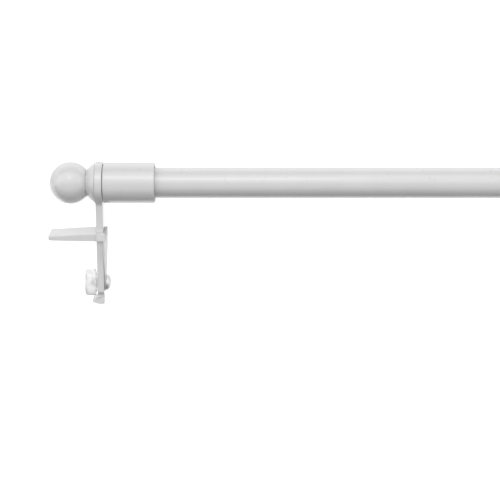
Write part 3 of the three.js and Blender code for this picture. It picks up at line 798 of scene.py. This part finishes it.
def collar_outline():
    """Bore, washer recess, land and the slightly swollen flare down to the ball."""
    recess = washer_radius + RUN_GAP
    recess_floor = washer_back + SEAT_GAP
    flare_start = collar_face + COLLAR_LAND
    flare_end = collar_end - COLLAR_SEAT_LAND
    flare = []
    for i in range(1, FLARE_STEPS):
        share = i / FLARE_STEPS
        flare.append((flare_start + (flare_end - flare_start) * share,
                      collar_radius + (SEAT_RADIUS - collar_radius) * share
                      + COLLAR_BULGE * math.sin(math.pi * share), 0))
    return [
        (recess_floor, STUD_HOLE, 0), (recess_floor, recess, 0),
        (collar_face, recess, FINE_EDGE), (collar_face, collar_radius, FINE_EDGE),
        (flare_start, collar_radius, 0), *flare, (flare_end, SEAT_RADIUS, 0),
        (collar_end, SEAT_RADIUS, FINE_EDGE), (collar_end, STUD_HOLE, FINE_EDGE),
    ]


def ball_outline():
    """The seat, the stud's blind bore and the round of the ball up to its pole."""
    start = math.acos((ball_seat - ball_centre) / ball_radius)
    angles = [start * (1 - i / BALL_STEPS) for i in range(1, BALL_STEPS)]
    round_points = [(ball_centre + ball_radius * math.cos(angle),
                     ball_radius * math.sin(angle), 0) for angle in angles]
    bore_end = stud_end + 2 * RUN_GAP
    return [(bore_end, 0, 0), (bore_end, STUD_HOLE, 0), (ball_seat, STUD_HOLE, FINE_EDGE),
            (ball_seat, SEAT_RADIUS, SMALL_EDGE), *round_points, (ball_pole, 0, 0)]


for side, place in end_frames.items():
    add_piece(f"turned_{side}_collar", turned(collar_outline()), place,
              f"{side}_finial", f"{side}_finial_collar", white_paint)
    add_piece(f"turned_{side}_ball", turned(ball_outline()), place,
              f"{side}_finial", f"{side}_finial_ball", white_paint)

# ---- Studio --------------------------------------------------------------------------
# A white floor some way under the rod, three soft boxes round it, and a sky that is bright
# above the front and the back, dim straight overhead and dark low down in front.

FLOOR_DROP = 60 * mm
FLOOR_HALF_SIZE = 30
# Each soft box's name, place, width and power in watts
SOFT_BOXES = [("front_box", (-0.02, -1.1, 1.15), 0.5, 1.2),
              ("left_box", (-1.5, -0.4, 0.5), 1.6, 4.5),
              ("right_box", (1.6, -0.3, 0.4), 1.6, 3.5)]
# Strength towards the left end, square on, and towards the right end.
SKY_ALONG_ROD = [(0, 1.45), (0.3, 2.0), (1, 1.75)]
# Brightness by the angle round the rod's axis: 0 is level behind, 90 overhead, 180 level
# in front, 270 straight down.
SKY = [(0, 0.5), (25, 0.46), (45, 0.7), (55, 0.66), (65, 0.42), (78, 0.25), (88, 0.15),
       (97, 0.19), (106, 0.52), (114, 0.72), (125, 0.74), (150, 0.74), (161, 0.72), (169, 0.34),
       (178, 0.38), (190, 0.42), (205, 0.46), (214, 0.26), (226, 0.06), (240, 0.0), (272, 0.0),
       (282, 0.42), (295, 0.74), (325, 0.78), (345, 0.6), (360, 0.5)]


def sky_world():
    """Soft light from all round, graded round the rod's axis."""
    world = bpy.data.worlds.new("soft_sky")
    world.use_nodes = True
    nodes, links = world.node_tree.nodes, world.node_tree.links
    direction = nodes.new("ShaderNodeTexCoord").outputs["Generated"]
    parts = nodes.new("ShaderNodeSeparateXYZ")
    links.new(direction, parts.inputs["Vector"])
    angle = nodes.new("ShaderNodeMath")
    angle.operation = "ARCTAN2"
    links.new(parts.outputs["Z"], angle.inputs[0])
    links.new(parts.outputs["Y"], angle.inputs[1])
    share = nodes.new("ShaderNodeMath")
    share.operation = "DIVIDE"
    share.inputs[1].default_value = math.tau
    links.new(angle.outputs[0], share.inputs[0])
    wrapped = nodes.new("ShaderNodeMath")
    wrapped.operation = "FRACT"
    links.new(share.outputs[0], wrapped.inputs[0])
    ramp = nodes.new("ShaderNodeValToRGB")
    stops = ramp.color_ramp.elements
    while len(stops) < len(SKY):
        stops.new(0.5)
    for stop, (degrees, brightness) in zip(stops, SKY):
        stop.position = degrees / 360
        stop.color = (brightness, brightness, brightness, 1)
    links.new(wrapped.outputs[0], ramp.inputs["Fac"])
    links.new(ramp.outputs["Color"], nodes["Background"].inputs["Color"])
    fall = nodes.new("ShaderNodeValToRGB")
    ends = fall.color_ramp.elements
    ends.new(0.5)
    for end, (position, strength) in zip(ends, SKY_ALONG_ROD):
        end.position = position
        end.color = (strength, strength, strength, 1)
    along = nodes.new("ShaderNodeMapRange")
    along.inputs["From Min"].default_value = -1
    links.new(parts.outputs["X"], along.inputs["Value"])
    links.new(along.outputs["Result"], fall.inputs["Fac"])
    links.new(fall.outputs["Color"], nodes["Background"].inputs["Strength"])
    return world


bpy.context.scene.world = sky_world()

floor_mesh = bmesh.new()
bmesh.ops.create_grid(floor_mesh, x_segments=1, y_segments=1, size=FLOOR_HALF_SIZE)
floor_mesh.transform(Matrix.Translation((0, 0, cad_low.z - FLOOR_DROP)))
floor_data = bpy.data.meshes.new("floor")
floor_mesh.to_mesh(floor_data)
floor_mesh.free()
floor_material, floor_nodes, floor_links, floor_shader, floor_place = new_material("white_floor")
floor_links.new(grey(floor_nodes, floor_links, noise(floor_nodes, floor_links, floor_place, 3),
                     (0.93, 0.93, 0.93), (0.95, 0.95, 0.95)), floor_shader.inputs["Base Color"])
floor_shader.inputs["Roughness"].default_value = 0.9
floor_shader.inputs["Emission Color"].default_value = (1, 1, 1, 1)
floor_shader.inputs["Emission Strength"].default_value = 0.25
floor_data.materials.append(floor_material)
floor = bpy.data.objects.new("floor", floor_data)
floor.visible_glossy = False
floor.visible_diffuse = False
bpy.context.scene.collection.objects.link(floor)

for name, spot, size, power in SOFT_BOXES:
    light_data = bpy.data.lights.new(name, "AREA")
    light_data.shape = "SQUARE"
    light_data.size = size
    light_data.energy = power
    light = bpy.data.objects.new(name, light_data)
    light.location = spot
    light.rotation_euler = (-Vector(spot)).to_track_quat("-Z", "Y").to_euler()
    bpy.context.scene.collection.objects.link(light)

# ---- Camera --------------------------------------------------------------------------
# In front of the left end and above it, looking 16 degrees down with a long lens.

CAMERA_LENS = 112.3
CAMERA_PLACE = (0.0806, -0.7938, 0.2526)
CAMERA_TILT = math.radians(90 - 16)

camera_data = bpy.data.cameras.new("camera")
camera_data.sensor_width = 36
camera_data.lens = CAMERA_LENS
camera_data.clip_start = 0.01
camera_data.clip_end = 100
camera = bpy.data.objects.new("camera", camera_data)
camera.location = CAMERA_PLACE
camera.rotation_euler = (CAMERA_TILT, 0, 0)
bpy.context.scene.collection.objects.link(camera)
bpy.context.scene.camera = camera
bpy.context.scene.view_settings.view_transform = "Standard"
